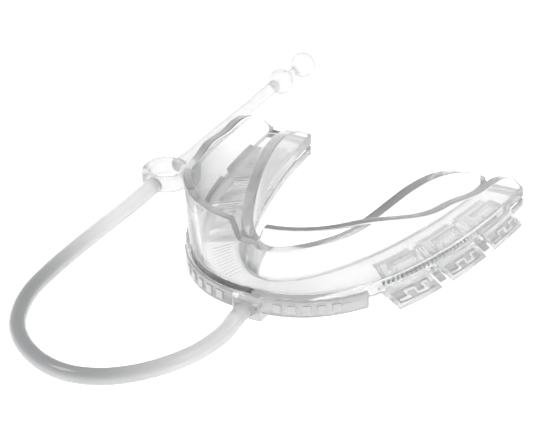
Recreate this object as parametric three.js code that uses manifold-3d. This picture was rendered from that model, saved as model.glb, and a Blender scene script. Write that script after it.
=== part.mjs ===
// Boxing mouthguard with a quick-release strap.
// Millimetres, +Z up. The arch opens towards +Y, its front is towards -Y, and it stands on its bite pads.
// A soft fitting tray is carried by a firmer U-shaped frame with six bite pads under it.
// The strap plugs into a socket at the front of the frame. It ends in a ring, a tail and two stop balls.

import * as THREE from 'three';
import { mergeVertices } from 'three/addons/utils/BufferGeometryUtils.js';
import Module from 'manifold-3d';

const wasm = await Module();
wasm.setup();

// ---- Driving dimensions ----

// Outer line of the tray at its foot: a Lame curve (superellipse) cut off where the arms end.
const ARCH_HALF_WIDTH = 28.8;
const ARCH_DEPTH = 59.5;
const ARCH_RUN_OUT = 3;
const ARCH_POWER = 2.4;

// Inner line of the tooth channel.
const CHANNEL_FRONT_WIDTH = 4.1;
const CHANNEL_MOLAR_WIDTH = 6.5;
const CHANNEL_POWER = 1.85;

// Stack from the surface up: bite pad, frame, tray floor, with the fit gap between them.
const FIT_GAP = 0.3;
const PAD_THICKNESS = 2.5;
const FRAME_THICKNESS = 1.9;
const FLOOR_THICKNESS = 1.5;

// Fitting tray. Heights are above the surface, places are distances along the arch from the front.
const FLANGE_THICKNESS = 1.7;
const FLANGE_FLARE = 0.07;
const FRONT_HEIGHT = 21.6;
const NOTCH_HEIGHT = 17.4;
const NOTCH_FLOOR_HALF_WIDTH = 1.6;
const NOTCH_HALF_WIDTH = 3.8;
const FRONT_RUN = 20;
const WAIST_HEIGHT = 17.1;
const WAIST_PLACE = 43;
const REAR_HEIGHT = 14.9;
const REAR_PLACE = 57;
const ARM_END_HEIGHT = 7;
const FLANGE_FALL_POWER = 2.4;
const INNER_WALL_THICKNESS = 2.2;
const INNER_WALL_LEAN = 0.1;
const INNER_FRONT_HEIGHT = 12.4;
const INNER_FRONT_RUN = 20;
const INNER_SIDE_HEIGHT = 15.3;
const INNER_SIDE_PLACE = 46;
const INNER_END_HEIGHT = 7.5;
const INNER_FALL_POWER = 2;

// Bite pads: three under each arm, evenly spaced between the bumper and the end of the arm.
const PADS_EACH_SIDE = 3;
const PAD_START = 25.4;
const PAD_GAP = 3;
const PAD_SLANT = 4.9;
const PAD_REAR_MARGIN = 2.3;
const PAD_BULGE = 1.2;
const PAD_TOE_HEIGHT = 0.9;
const PAD_BAND_BULGE = 0.8;
const PAD_BAND_HEIGHT = 1.5;
const PAD_BAND_TOP_DROP = 0.4;
const PAD_RECESS_DEPTH = 0.25;
const PAD_RECESS_MARGIN = 1.2;
const PAD_KEY_MARGIN = 2.3;
const PAD_KEY_SETBACK = 3;
const PAD_KEY_END_GAP = 0.9;

// Webs: the frame comes down between neighbouring pads.
const WEB_BOTTOM = 1.1;
const WEB_SETBACK = 1;
const WEB_END_GAP = 0.75;

// Front bumper of the frame, with a row of plain raised bars on each side of the socket.
const BUMPER_THICKNESS = 0.7;
const BUMPER_END_GAP = 2.2;
const BUMPER_STEP_DOWN = 0.2;
const BARS_EACH_SIDE = 5;
const FIRST_BAR = 5.2;
const BAR_PITCH = 2.7;
const BAR_LENGTH = 1.5;
const BAR_HEIGHT = 1.7;
const BAR_PROUD = 0.3;

// Strap plug and the socket around it.
const PLUG_WIDTH = 4.4;
const PLUG_HEIGHT = 1.2;
const PLUG_DEPTH = 4.4;
const PLUG_FIT_GAP = 0.25;
const PLUG_NECK_LENGTH = 0.9;
const SOCKET_SIDE_WALL = 0.6;
const SOCKET_FLOOR = 0.4;
const SOCKET_ROOF = 0.4;
const SOCKET_REACH = 1.5;
const SOCKET_END_WALL = 1.5;

// Strap.
const CORD_DIAMETER = 3.3;
const TAIL_DIAMETER = 2.6;
const RING_OUTER_DIAMETER = 10;
const RING_INNER_DIAMETER = 6.5;
const RING_COVER = 0.1;
const RING_LIFT = 0.1;
const RING_EDGE = 0.5;
const BALL_DIAMETER = 5.4;
const BALL_PITCH = 9;
const NECK_DIAMETER = 2;
const TOUCH_GAP = 0.3;
const STRAIGHT_LEAD = 0.8;

// Route of the strap on the surface: x, y from the front middle of the arch, and the lift of its underside.
// The cord runs from the plug to the ring, the tail from the ring to the inner ball.
const CORD_ROUTE = [
  [-0.2, -5.8, 1.3], [-0.4, -8.5, 0.5], [-0.9, -12.5, 0.15], [-2.3, -18.5, 0.1], [-5.4, -24.9, 0.1],
  [-9.1, -29.6, 0.1], [-13.6, -32.9, 0.1], [-19.1, -34.4, 0.1], [-25.1, -33.4, 0.1],
  [-31.1, -30, 0.1], [-36, -25, 0.1], [-39.2, -19, 0.1], [-41.2, -12, 0.1], [-41.9, -4, 0.1],
  [-42, 6, 0.1], [-41.8, 16, 0.1], [-41.4, 26, 0.1],
];
const RING_CENTRE = [-41.3, 40.2];
const TAIL_ROUTE = [
  [-41.1, 50, 0.4], [-41.1, 58, 0.4], [-40.9, 66, 0.45], [-40.5, 74, 0.7], [-40.1, 79.5, 1.15],
];
const TAIL_END = [-39.8, 82.6];
const TAIL_END_DIRECTION = [0.05, 1, 0];

// ---- Sampling ----

const ARCH_STEPS = 88;
const BUMPER_STEPS = 32;
const CURVE_SAMPLES = 600;
const PAD_STEPS = 6;
const ROUND_SIDES = 24;
const CORD_SIDES = 8;
const CORD_STEPS = 40;
const TAIL_STEPS = 10;

// ---- Materials ----

function clearPlastic(color, roughness, opacity) {
  return new THREE.MeshStandardMaterial({ color, roughness, metalness: 0, transparent: true, opacity });
}

const trayMaterial = () => clearPlastic(0xf4f6f7, 0.12, 0.45);
const frameMaterial = () => clearPlastic(0xd9dcdf, 0.2, 0.6);
const padMaterial = () => clearPlastic(0xe4e6e8, 0.25, 0.6);
const strapMaterial = () => clearPlastic(0xeceeef, 0.2, 0.7);

// ---- Arch lines ----

// A Lame curve with its front at (0, front), run back to the end of the arms.
// point(share) takes -1 at the end of the left arm, 0 at the front and 1 at the end of the right arm.
function archLine(halfWidth, front, power) {
  const depth = ARCH_DEPTH + ARCH_RUN_OUT - front;
  const cutDepth = ARCH_DEPTH - front;
  const cutHeight = 1 - cutDepth / depth;
  const xs = [];
  const ys = [];
  const lengths = [0];
  for (let i = 0; i <= CURVE_SAMPLES; i += 1) {
    const turn = (i / CURVE_SAMPLES) * Math.PI / 2;
    const reach = Math.pow(Math.sin(turn), 2 / power);
    const rise = Math.pow(Math.cos(turn), 2 / power);
    const clipped = Math.max(rise, cutHeight);
    const width = rise < cutHeight ? Math.pow(1 - Math.pow(cutHeight, power), 1 / power) : reach;
    xs.push(halfWidth * width);
    ys.push(front + depth * (1 - clipped));
    if (i > 0) {
      lengths.push(lengths[i - 1] + Math.hypot(xs[i] - xs[i - 1], ys[i] - ys[i - 1]));
    }
  }
  const armLength = lengths[CURVE_SAMPLES];

  function at(share) {
    const wanted = Math.min(Math.abs(share), 1) * armLength;
    let i = 1;
    while (i < CURVE_SAMPLES && lengths[i] < wanted) {
      i += 1;
    }
    const step = lengths[i] - lengths[i - 1];
    const mix = step > 0 ? (wanted - lengths[i - 1]) / step : 0;
    const side = share < 0 ? -1 : 1;
    return new THREE.Vector2(
      side * THREE.MathUtils.lerp(xs[i - 1], xs[i], mix),
      THREE.MathUtils.lerp(ys[i - 1], ys[i], mix),
    );
  }

  // The point moved inwards, towards the palate, by the given distance.
  function point(share, inwards) {
    const reach = 0.01;
    const before = at(Math.max(share - reach, -1));
    const after = at(Math.min(share + reach, 1));
    const along = after.sub(before).normalize();
    const place = at(share);
    return new THREE.Vector2(place.x - along.y * inwards, place.y + along.x * inwards);
  }

  return { armLength, point };
}

const outerLine = archLine(ARCH_HALF_WIDTH, 0, ARCH_POWER);
const innerLine = archLine(
  ARCH_HALF_WIDTH - FLANGE_THICKNESS - CHANNEL_MOLAR_WIDTH,
  FLANGE_THICKNESS + CHANNEL_FRONT_WIDTH,
  CHANNEL_POWER,
);

const shareOf = (distance) => distance / outerLine.armLength;

// A height that changes smoothly with the distance along the arch, the same on both arms.
// From the last stop it falls to the end height, faster and faster towards the end of the arm.
function heightProfile(stops, endHeight, fallPower) {
  return (share) => {
    const distance = Math.abs(share) * outerLine.armLength;
    const [lastPlace, lastHeight] = stops[stops.length - 1];
    if (distance > lastPlace) {
      const fall = (distance - lastPlace) / (outerLine.armLength - lastPlace);
      return THREE.MathUtils.lerp(lastHeight, endHeight, Math.pow(fall, fallPower));
    }
    const next = stops.findIndex(([place]) => place >= distance);
    const [place, height] = stops[Math.max(next - 1, 0)];
    const [nextPlace, nextHeight] = stops[next];
    const mix = THREE.MathUtils.smoothstep(distance, place, nextPlace);
    return THREE.MathUtils.lerp(height, nextHeight, mix);
  };
}

const flangeTop = heightProfile([
  [0, NOTCH_HEIGHT],
  [NOTCH_FLOOR_HALF_WIDTH, NOTCH_HEIGHT],
  [NOTCH_HALF_WIDTH, FRONT_HEIGHT],
  [FRONT_RUN, FRONT_HEIGHT],
  [WAIST_PLACE, WAIST_HEIGHT],
  [REAR_PLACE, REAR_HEIGHT],
], ARM_END_HEIGHT, FLANGE_FALL_POWER);

const innerWallTop = heightProfile([
  [0, INNER_FRONT_HEIGHT],
  [INNER_FRONT_RUN, INNER_FRONT_HEIGHT],
  [INNER_SIDE_PLACE, INNER_SIDE_HEIGHT],
], INNER_END_HEIGHT, INNER_FALL_POWER);

// ---- Solids ----

function solidOf(geometry) {
  geometry.deleteAttribute('normal');
  geometry.deleteAttribute('uv');
  const merged = mergeVertices(geometry);
  return new wasm.Manifold(new wasm.Mesh({
    numProp: 3,
    vertProperties: new Float32Array(merged.attributes.position.array),
    triVerts: new Uint32Array(merged.index.array),
  }));
}

function geometryOf(solid) {
  const mesh = solid.getMesh();
  const geometry = new THREE.BufferGeometry();
  geometry.setAttribute('position', new THREE.BufferAttribute(new Float32Array(mesh.vertProperties), 3));
  geometry.setIndex(new THREE.BufferAttribute(new Uint32Array(mesh.triVerts), 1));
  geometry.computeVertexNormals();
  return geometry;
}

function joined(solids) {
  return solids.reduce((whole, solid) => whole.add(solid));
}

// A box bent along the arch. place(share, across, up) gives the corner positions, across and up from 0 to 1.
function bentBox(from, to, steps, place) {
  const geometry = new THREE.BoxGeometry(1, 1, 1, steps, 1, 1);
  const position = geometry.attributes.position;
  const corner = new THREE.Vector3();
  for (let i = 0; i < position.count; i += 1) {
    const share = THREE.MathUtils.lerp(from, to, position.getX(i) + 0.5);
    place(share, position.getY(i) + 0.5, position.getZ(i) + 0.5, corner);
    position.setXYZ(i, corner.x, corner.y, corner.z);
  }
  return solidOf(geometry);
}

// A wall standing on one arch line. crestOutside and crestInside slope its faces.
function wall({
  line, from, to, steps, outside, inside, bottom, top,
  crestOutside = outside, crestInside = inside, slant = () => 0,
}) {
  return bentBox(from, to, steps, (share, across, up, corner) => {
    const height = THREE.MathUtils.lerp(bottom, top, up);
    const face = THREE.MathUtils.lerp(outside, crestOutside, up);
    const back = THREE.MathUtils.lerp(inside, crestInside, up);
    const spot = line.point(share + slant(height), THREE.MathUtils.lerp(face, back, across));
    corner.set(spot.x, spot.y, height);
  });
}

// A flat plate between the outer line and the inner line, each moved inwards by its own distance.
function plate({
  from = -1, to = 1, steps = ARCH_STEPS, outside, inside, bottom, top, slant = () => 0,
}) {
  return bentBox(from, to, steps, (share, across, up, corner) => {
    const height = THREE.MathUtils.lerp(bottom, top, up);
    const outer = outerLine.point(share + slant(height), outside);
    const spot = outer.lerp(innerLine.point(share + slant(height), inside), across);
    corner.set(spot.x, spot.y, height);
  });
}

function block(width, depth, height, x, y, z) {
  return solidOf(new THREE.BoxGeometry(width, depth, height).translate(x, y, z));
}

// ---- Heights and places that follow from the dimensions ----

const frameBottom = PAD_THICKNESS + FIT_GAP;
const frameTop = frameBottom + FRAME_THICKNESS;
const floorBottom = frameTop + FIT_GAP;
const floorTop = floorBottom + FLOOR_THICKNESS;
const bumperTop = floorTop - BUMPER_STEP_DOWN;
const bandTop = floorTop - PAD_BAND_TOP_DROP;
const bumperOutside = -FIT_GAP - BUMPER_THICKNESS;
const bumperHalfLength = PAD_START - BUMPER_END_GAP;
const padSpan = outerLine.armLength - PAD_START - PAD_SLANT - PAD_REAR_MARGIN;
const padPitch = (padSpan + PAD_GAP) / PADS_EACH_SIDE;
const padLength = padPitch - PAD_GAP;
const padShares = Array.from({ length: PADS_EACH_SIDE }, (_, index) => (
  shareOf(PAD_START + padLength / 2 + index * padPitch)
));
const plugHeight = frameTop - SOCKET_ROOF - PLUG_FIT_GAP - PLUG_HEIGHT / 2;
const socketBottom = plugHeight - PLUG_HEIGHT / 2 - PLUG_FIT_GAP - SOCKET_FLOOR;

// ---- Fitting tray ----

// One section bent along the arch: a flange on the lip side, the channel floor and a wall on the palate side.
// Its outline is drawn on columns from the lip side to the palate side, and rows from the bottom to the crest.
function fittingTray() {
  const outline = [[0, 0], [3, 0], [3, 2], [2, 2], [2, 1], [1, 1], [1, 2], [0, 2]];
  const section = new THREE.Shape(outline.map((point) => new THREE.Vector2(...point)));
  const geometry = new THREE.ExtrudeGeometry(section, { steps: ARCH_STEPS, depth: 2, bevelEnabled: false });
  const flange = { line: outerLine, lean: -FLANGE_FLARE, crest: flangeTop };
  const innerWall = { line: innerLine, lean: INNER_WALL_LEAN, crest: innerWallTop };
  const columns = [
    { ...flange, inwards: 0 },
    { ...flange, inwards: FLANGE_THICKNESS },
    { ...innerWall, inwards: 0 },
    { ...innerWall, inwards: INNER_WALL_THICKNESS },
  ];
  const position = geometry.attributes.position;
  for (let i = 0; i < position.count; i += 1) {
    const share = position.getZ(i) - 1;
    const { line, lean, crest, inwards } = columns[Math.round(position.getX(i))];
    const height = [floorBottom, floorTop, crest(share)][Math.round(position.getY(i))];
    const spot = line.point(share, inwards + lean * Math.max(height - floorTop, 0));
    position.setXYZ(i, spot.x, spot.y, height);
  }
  return solidOf(geometry);
}

// ---- Base frame ----

// The key of a pad, or the window it fits in, which is larger by a gap at the sides and one at the ends.
function padKey(centre, sideGap, endGap, bottom, top) {
  const half = shareOf(padLength / 2 - PAD_KEY_MARGIN + endGap);
  return plate({
    from: centre - half,
    to: centre + half,
    steps: PAD_STEPS,
    outside: PAD_KEY_SETBACK - sideGap,
    inside: sideGap - PAD_KEY_SETBACK,
    bottom,
    top,
  });
}

function raisedBars() {
  const middle = (frameBottom + bumperTop) / 2;
  const bars = [];
  for (const side of [-1, 1]) {
    for (let i = 0; i < BARS_EACH_SIDE; i += 1) {
      const start = FIRST_BAR + i * BAR_PITCH;
      const ends = [side * shareOf(start), side * shareOf(start + BAR_LENGTH)].sort((a, b) => a - b);
      bars.push(wall({
        line: outerLine,
        from: ends[0],
        to: ends[1],
        steps: 1,
        outside: bumperOutside - BAR_PROUD,
        inside: bumperOutside + BUMPER_THICKNESS / 2,
        bottom: middle - BAR_HEIGHT / 2,
        top: middle + BAR_HEIGHT / 2,
      }));
    }
  }
  return bars;
}

// The frame's webs fill the slanted gaps between the pads of each arm.
function webs() {
  const half = shareOf(PAD_GAP / 2 - WEB_END_GAP);
  const middles = padShares.slice(1).map((share) => share - shareOf(padPitch / 2));
  return middles.flatMap((middle) => [-1, 1].map((side) => plate({
    from: side * middle - half,
    to: side * middle + half,
    steps: 1,
    outside: -PAD_BAND_BULGE,
    inside: -WEB_SETBACK,
    bottom: WEB_BOTTOM,
    top: (frameBottom + frameTop) / 2,
    slant: slanted(side),
  })));
}

function socketBoss() {
  const width = PLUG_WIDTH + 2 * (PLUG_FIT_GAP + SOCKET_SIDE_WALL);
  const frontHeight = bumperTop - socketBottom;
  const frontDepth = SOCKET_REACH - FIT_GAP;
  const front = block(
    width, frontDepth, frontHeight, 0, -SOCKET_REACH + frontDepth / 2, socketBottom + frontHeight / 2,
  );
  const backHeight = frameTop - socketBottom;
  const backDepth = PLUG_DEPTH + PLUG_FIT_GAP + SOCKET_END_WALL;
  const back = block(
    width, backDepth, backHeight, 0, -SOCKET_REACH + backDepth / 2, socketBottom + backHeight / 2,
  );
  return front.add(back);
}

function socketCavity() {
  const depth = PLUG_DEPTH + PLUG_FIT_GAP;
  const height = PLUG_HEIGHT + 2 * PLUG_FIT_GAP;
  return block(PLUG_WIDTH + 2 * PLUG_FIT_GAP, 2 * depth, height, 0, -SOCKET_REACH, plugHeight);
}

function baseFrame() {
  const half = shareOf(bumperHalfLength);
  const bumper = { line: outerLine, from: -half, to: half, steps: BUMPER_STEPS, bottom: frameBottom };
  const body = joined([
    plate({ outside: 0, inside: INNER_WALL_THICKNESS, bottom: frameBottom, top: frameTop }),
    wall({ ...bumper, outside: bumperOutside, inside: -FIT_GAP, top: bumperTop }),
    wall({ ...bumper, outside: bumperOutside, inside: FLANGE_THICKNESS, top: frameTop }),
    socketBoss(),
    ...raisedBars(),
    ...webs(),
  ]);
  const windows = padShares.flatMap((share) => [-1, 1].map((side) => (
    padKey(side * share + slanted(side)(PAD_THICKNESS), FIT_GAP, PAD_KEY_END_GAP, 0, floorTop)
  )));
  return body.subtract(joined([socketCavity(), ...windows]));
}

// ---- Bite pads ----

// The pads lean: the lower a point is, the further it is moved towards the end of its arm.
function slanted(side) {
  return (height) => side * shareOf(PAD_SLANT) * (1 - height / bandTop);
}

function bitePad(centre) {
  const half = shareOf(padLength / 2);
  const slant = slanted(Math.sign(centre));
  const span = { from: centre - half, to: centre + half, steps: PAD_STEPS, slant };
  const side = { ...span, line: outerLine, inside: -FIT_GAP, bottom: 0 };
  const faceTop = bandTop - PAD_BAND_HEIGHT;
  const slope = { bottom: PAD_TOE_HEIGHT, top: faceTop };
  const body = joined([
    plate({ ...span, outside: -PAD_BAND_BULGE, inside: 0, bottom: 0, top: PAD_THICKNESS }),
    wall({ ...side, outside: -PAD_BULGE, top: PAD_TOE_HEIGHT }),
    wall({ ...side, ...slope, outside: -PAD_BULGE, crestOutside: -PAD_BAND_BULGE }),
    wall({ ...side, outside: -PAD_BAND_BULGE, top: bandTop }),
    padKey(centre + slant(PAD_THICKNESS), 0, 0, PAD_THICKNESS / 2, frameTop - FIT_GAP),
  ]);
  const recessHalf = half - shareOf(PAD_RECESS_MARGIN);
  const recessBottom = PAD_TOE_HEIGHT + PAD_RECESS_MARGIN / 2;
  const recessTop = faceTop - PAD_RECESS_MARGIN / 2;
  const faceAt = (height) => THREE.MathUtils.mapLinear(
    height, PAD_TOE_HEIGHT, faceTop, -PAD_BULGE, -PAD_BAND_BULGE,
  );
  const recess = wall({
    line: outerLine,
    from: centre - recessHalf,
    to: centre + recessHalf,
    steps: PAD_STEPS,
    slant,
    outside: faceAt(recessBottom) - PAD_RECESS_DEPTH,
    crestOutside: faceAt(recessTop) - PAD_RECESS_DEPTH,
    inside: faceAt(recessBottom) + PAD_RECESS_DEPTH,
    crestInside: faceAt(recessTop) + PAD_RECESS_DEPTH,
    bottom: recessBottom,
    top: recessTop,
  });
  return body.subtract(recess);
}

// ---- Strap ----

const neckEnd = -SOCKET_REACH - TOUCH_GAP - PLUG_NECK_LENGTH;
const strapStart = [0, neckEnd - TOUCH_GAP, plugHeight];
const strapLead = [0, neckEnd - TOUCH_GAP - STRAIGHT_LEAD, plugHeight];
const ringReach = RING_OUTER_DIAMETER / 2 + TOUCH_GAP;
const ringHeight = CORD_DIAMETER + 2 * RING_COVER;
const ballReach = BALL_DIAMETER / 2 + TOUCH_GAP;
const tailEnd = new THREE.Vector3(TAIL_END[0], TAIL_END[1], BALL_DIAMETER / 2);
const tailDirection = new THREE.Vector3(...TAIL_END_DIRECTION).normalize();
const alongTail = (distance) => tailEnd.clone().addScaledVector(tailDirection, distance);
const innerBallPlace = alongTail(ballReach);
const outerBallPlace = alongTail(ballReach + BALL_PITCH);

// The route's points on the axis of a cord of this diameter.
function axisPoints(route, diameter) {
  return route.map(([x, y, lift]) => [x, y, lift + diameter / 2]);
}

function strapPlug() {
  const neckMiddle = neckEnd + PLUG_NECK_LENGTH / 2;
  const tipEnd = -SOCKET_REACH + PLUG_DEPTH;
  const tip = block(
    PLUG_WIDTH, tipEnd - neckMiddle, PLUG_HEIGHT, 0, (tipEnd + neckMiddle) / 2, plugHeight,
  );
  const neck = new THREE.CylinderGeometry(
    CORD_DIAMETER / 2, CORD_DIAMETER / 2, PLUG_NECK_LENGTH, ROUND_SIDES,
  );
  neck.translate(0, neckMiddle, plugHeight);
  return tip.add(solidOf(neck));
}

function tube(route, diameter, steps) {
  const points = route.map((point) => new THREE.Vector3(...point));
  const curve = new THREE.CatmullRomCurve3(points, false, 'centripetal');
  const section = new THREE.Shape();
  for (let i = 0; i < CORD_SIDES; i += 1) {
    const turn = ((i + 0.5) / CORD_SIDES) * 2 * Math.PI;
    const x = Math.cos(turn) * diameter / 2;
    const y = Math.sin(turn) * diameter / 2;
    if (i === 0) {
      section.moveTo(x, y);
    } else {
      section.lineTo(x, y);
    }
  }
  section.closePath();
  return new THREE.ExtrudeGeometry(section, { steps, extrudePath: curve, bevelEnabled: false });
}

function strapCord() {
  const ringEnd = [RING_CENTRE[0], RING_CENTRE[1] - ringReach, RING_LIFT + ringHeight / 2];
  const route = [strapStart, strapLead, ...axisPoints(CORD_ROUTE, CORD_DIAMETER), ringEnd];
  return tube(route, CORD_DIAMETER, CORD_STEPS);
}

function strapTail() {
  const ringEnd = [RING_CENTRE[0], RING_CENTRE[1] + ringReach, RING_LIFT + ringHeight / 2];
  const route = [ringEnd, ...axisPoints(TAIL_ROUTE, TAIL_DIAMETER), tailEnd.toArray()];
  return tube(route, TAIL_DIAMETER, TAIL_STEPS);
}

function strapRing() {
  const inner = RING_INNER_DIAMETER / 2;
  const outer = RING_OUTER_DIAMETER / 2;
  const lower = RING_EDGE;
  const upper = ringHeight - RING_EDGE;
  const profile = [
    [inner, lower], [inner + RING_EDGE, 0], [outer - RING_EDGE, 0], [outer, lower], [outer, upper],
    [outer - RING_EDGE, ringHeight], [inner + RING_EDGE, ringHeight], [inner, upper], [inner, lower],
  ];
  const geometry = new THREE.LatheGeometry(profile.map((point) => new THREE.Vector2(...point)), ROUND_SIDES);
  geometry.rotateX(Math.PI / 2);
  return solidOf(geometry);
}

function stopBall() {
  return solidOf(new THREE.SphereGeometry(BALL_DIAMETER / 2, ROUND_SIDES, 12));
}

function stopNeck() {
  const length = BALL_PITCH - 2 * ballReach;
  return new THREE.CylinderGeometry(NECK_DIAMETER / 2, NECK_DIAMETER / 2, length, 12);
}

// ---- Assembly ----

function named(name, solid, material) {
  const geometry = solid instanceof THREE.BufferGeometry ? solid : geometryOf(solid);
  const mesh = new THREE.Mesh(geometry, material);
  mesh.name = name;
  return mesh;
}

const group = new THREE.Group();
const guard = new THREE.Group();
guard.position.y = -(ARCH_DEPTH - SOCKET_REACH) / 2;
group.add(guard);

guard.add(named('fitting_tray', fittingTray(), trayMaterial()));
guard.add(named('base_frame', baseFrame(), frameMaterial()));

const padNames = ['front', 'middle', 'rear'];
padShares.forEach((share, index) => {
  guard.add(named(`bite_pad_left_${padNames[index]}`, bitePad(-share), padMaterial()));
  guard.add(named(`bite_pad_right_${padNames[index]}`, bitePad(share), padMaterial()));
});

guard.add(named('tether_anchor', strapPlug(), strapMaterial()));
guard.add(named('tether_cord', strapCord(), strapMaterial()));
guard.add(named('tether_tail', strapTail(), strapMaterial()));

const ring = named('tether_ring', strapRing(), strapMaterial());
ring.position.set(RING_CENTRE[0], RING_CENTRE[1], RING_LIFT);
guard.add(ring);

const innerBall = named('stop_ball_inner', stopBall(), strapMaterial());
innerBall.position.copy(innerBallPlace);
guard.add(innerBall);

const outerBall = named('stop_ball_outer', stopBall(), strapMaterial());
outerBall.position.copy(outerBallPlace);
guard.add(outerBall);

const neck = named('stop_ball_neck', stopNeck(), strapMaterial());
neck.quaternion.setFromUnitVectors(new THREE.Vector3(0, 1, 0), tailDirection);
neck.position.copy(innerBallPlace.clone().add(outerBallPlace).multiplyScalar(0.5));
guard.add(neck);

export default group;
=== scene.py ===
"""Clear boxing mouthguard with a quick-release strap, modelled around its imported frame."""

import math

import bmesh
import bpy
import numpy as np
from mathutils import Matrix, Vector


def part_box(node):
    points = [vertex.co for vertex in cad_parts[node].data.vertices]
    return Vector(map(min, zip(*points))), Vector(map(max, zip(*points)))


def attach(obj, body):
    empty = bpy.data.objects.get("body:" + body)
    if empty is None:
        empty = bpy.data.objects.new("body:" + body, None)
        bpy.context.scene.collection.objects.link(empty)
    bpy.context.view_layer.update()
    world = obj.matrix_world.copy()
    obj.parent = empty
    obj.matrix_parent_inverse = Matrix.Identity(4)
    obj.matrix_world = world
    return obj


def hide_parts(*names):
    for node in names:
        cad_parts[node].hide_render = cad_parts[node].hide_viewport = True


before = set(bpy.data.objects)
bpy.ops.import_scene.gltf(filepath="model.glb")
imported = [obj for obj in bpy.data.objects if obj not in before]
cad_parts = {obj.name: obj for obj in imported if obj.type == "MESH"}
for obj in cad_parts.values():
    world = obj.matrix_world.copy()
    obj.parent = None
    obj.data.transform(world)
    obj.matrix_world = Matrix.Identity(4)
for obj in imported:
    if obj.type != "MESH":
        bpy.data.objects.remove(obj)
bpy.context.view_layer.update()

bl_info = {
    "name": "Clear Mouthguard",
    "version": (1, 0, 0),
    "blender": (4, 5, 0),
    "location": "View3D > Sidebar > Mouthguard",
    "description": "Makes a clear boxing mouthguard with its bite pads and quick-release strap",
    "category": "Object",
}

# ---- Places that come from the frame ----

MM = 0.001
TRAY_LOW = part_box("fitting_tray")[0]
FRAME_LOW, FRAME_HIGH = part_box("base_frame")
PLUG_LOW, PLUG_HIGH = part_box("tether_anchor")
RING_LOW, RING_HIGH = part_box("tether_ring")
INNER_BALL_LOW, INNER_BALL_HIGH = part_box("stop_ball_inner")
OUTER_BALL_LOW, OUTER_BALL_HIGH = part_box("stop_ball_outer")

# ---- Places that the pieces of the guard share ----

SOCKET_REACH = 1.5 * MM
ARCH_FRONT = FRAME_LOW.y + SOCKET_REACH
ARCH_HALF_WIDTH = FRAME_HIGH.x
ARCH_DEPTH = 59.5 * MM
PLATE_BOTTOM = 2.8 * MM

# ---- Route of the strap: x, y from the front middle of the arch, and the lift of its underside, in metres ----

CORD_ROUTE = [
    (-0.0002, -0.0058, 0.0013), (-0.0004, -0.0085, 0.0005), (-0.0009, -0.0125, 0.00015),
    (-0.0023, -0.0185, 0.0001), (-0.0054, -0.0249, 0.0001), (-0.0091, -0.0296, 0.0001),
    (-0.0136, -0.0329, 0.0001), (-0.0191, -0.0344, 0.0001), (-0.0251, -0.0334, 0.0001),
    (-0.0311, -0.03, 0.0001), (-0.036, -0.025, 0.0001), (-0.0392, -0.019, 0.0001),
    (-0.0412, -0.012, 0.0001), (-0.0419, -0.004, 0.0001), (-0.042, 0.006, 0.0001),
    (-0.0418, 0.016, 0.0001), (-0.0414, 0.026, 0.0001),
]
TAIL_ROUTE = [
    (-0.0411, 0.05, 0.0004), (-0.0411, 0.058, 0.0004), (-0.0409, 0.066, 0.00045),
    (-0.0405, 0.074, 0.0007), (-0.0401, 0.0795, 0.00115),
]
CORD_SAMPLES_A_SPAN = 10
CORD_DIAMETER = 3.3 * MM
TAIL_DIAMETER = 2.6 * MM
CORD_LEAD = 1.1 * MM
RING_OVERLAP = 0.3 * MM
TAIL_END_INSET = 2.3 * MM


# ---- Sizes that a user would change ----


class GuardSizes(bpy.types.PropertyGroup):
    """Sizes of the tray, the frame and the bite pads, in metres."""

    run_out: bpy.props.FloatProperty(
        name="Run-out", description="How far past the arms the arch curve would close", default=3 * MM,
        unit="LENGTH", precision=5)
    arch_power: bpy.props.FloatProperty(
        name="Arch power", description="Squareness of the outer arch line", default=2.4, min=1.5, max=4)
    channel_power: bpy.props.FloatProperty(
        name="Channel power", description="Squareness of the inner arch line", default=1.85, min=1.5, max=4)
    channel_front: bpy.props.FloatProperty(
        name="Channel at the front", description="Width of the tooth channel at the front", default=4.1 * MM,
        unit="LENGTH", precision=5)
    channel_molar: bpy.props.FloatProperty(
        name="Channel at the molars", description="Width of the tooth channel at its rear", default=6.5 * MM,
        unit="LENGTH", precision=5)
    flange: bpy.props.FloatProperty(
        name="Flange", description="Thickness of the lip-side wall", default=1.7 * MM, unit="LENGTH",
        precision=5)
    flare: bpy.props.FloatProperty(
        name="Flare", description="Outward lean of the flange, as a slope", default=0.07)
    inner_wall: bpy.props.FloatProperty(
        name="Inner wall", description="Thickness of the palate-side wall", default=2.2 * MM, unit="LENGTH",
        precision=5)
    inner_lean: bpy.props.FloatProperty(
        name="Inner lean", description="Lean of the palate-side wall, as a slope", default=0.1)
    floor: bpy.props.FloatProperty(
        name="Channel floor", description="Thickness of the channel floor", default=1.5 * MM, unit="LENGTH",
        precision=5)
    fit_gap: bpy.props.FloatProperty(
        name="Fit gap", description="Gap between pieces that seat on each other", default=0.3 * MM,
        unit="LENGTH", precision=5)
    edge_round: bpy.props.FloatProperty(
        name="Edge round", description="Radius of the moulded edges of the tray", default=0.3 * MM,
        unit="LENGTH", precision=5)
    rib_pitch: bpy.props.FloatProperty(
        name="Rib pitch", description="Spacing of the grip ribs on the channel floor", default=1.25 * MM,
        unit="LENGTH", precision=5)
    rib_height: bpy.props.FloatProperty(
        name="Rib height", description="Height of the grip ribs on the channel floor", default=0.08 * MM,
        unit="LENGTH", precision=5)


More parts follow.
